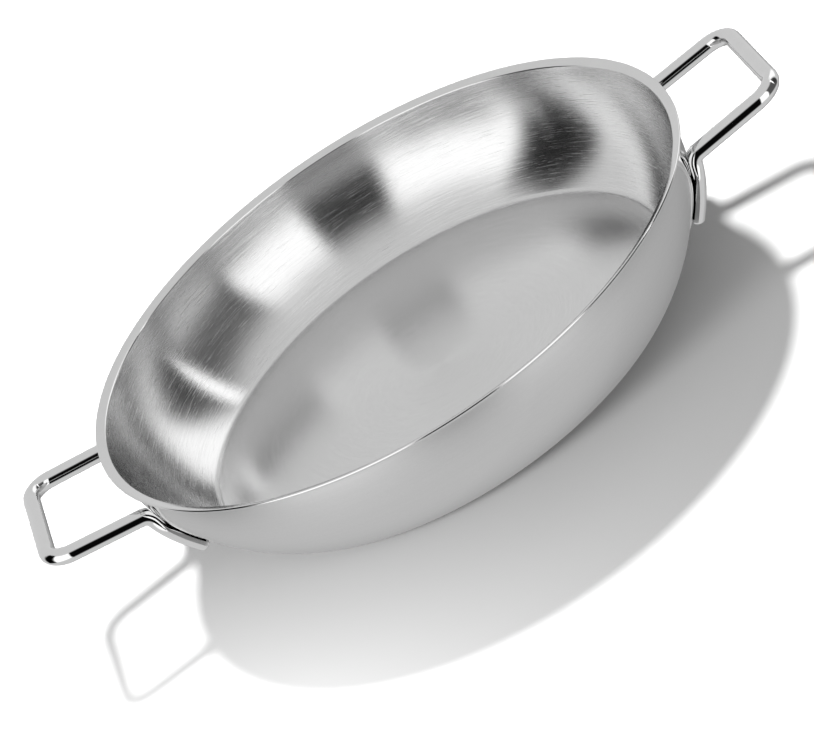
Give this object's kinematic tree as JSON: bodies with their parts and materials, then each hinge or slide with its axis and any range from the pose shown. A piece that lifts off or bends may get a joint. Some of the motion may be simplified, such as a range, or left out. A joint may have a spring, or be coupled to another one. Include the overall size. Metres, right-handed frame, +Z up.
{
  "type": "serving pan",
  "caption": "Round shallow stainless steel serving pan with a bowl-shaped wall, a flared pouring lip, a heat-spreading base and bent-rod side handles.",
  "frame": {"origin": "middle of the base's underside, on the table", "axes": "+X towards one handle and through both, +Y across, +Z up out of the mouth"},
  "size_m": [0.3196, 0.2476, 0.0489],
  "materials": {
    "satin_steel": "satin, brushed in rings on the inside",
    "polished_steel": "mirror polished",
    "base_steel": "satin, turned in rings",
    "core_aluminium": "rolled"
  },
  "bodies": {
    "root": {"pan_body": "satin_steel", "heat_core": "core_aluminium", "base_cap": "base_steel", "handle_left": "polished_steel", "handle_right": "polished_steel", "strap_left_front": "polished_steel", "strap_left_rear": "polished_steel", "strap_right_front": "polished_steel", "strap_right_rear": "polished_steel"}
  },
  "joints": []
}
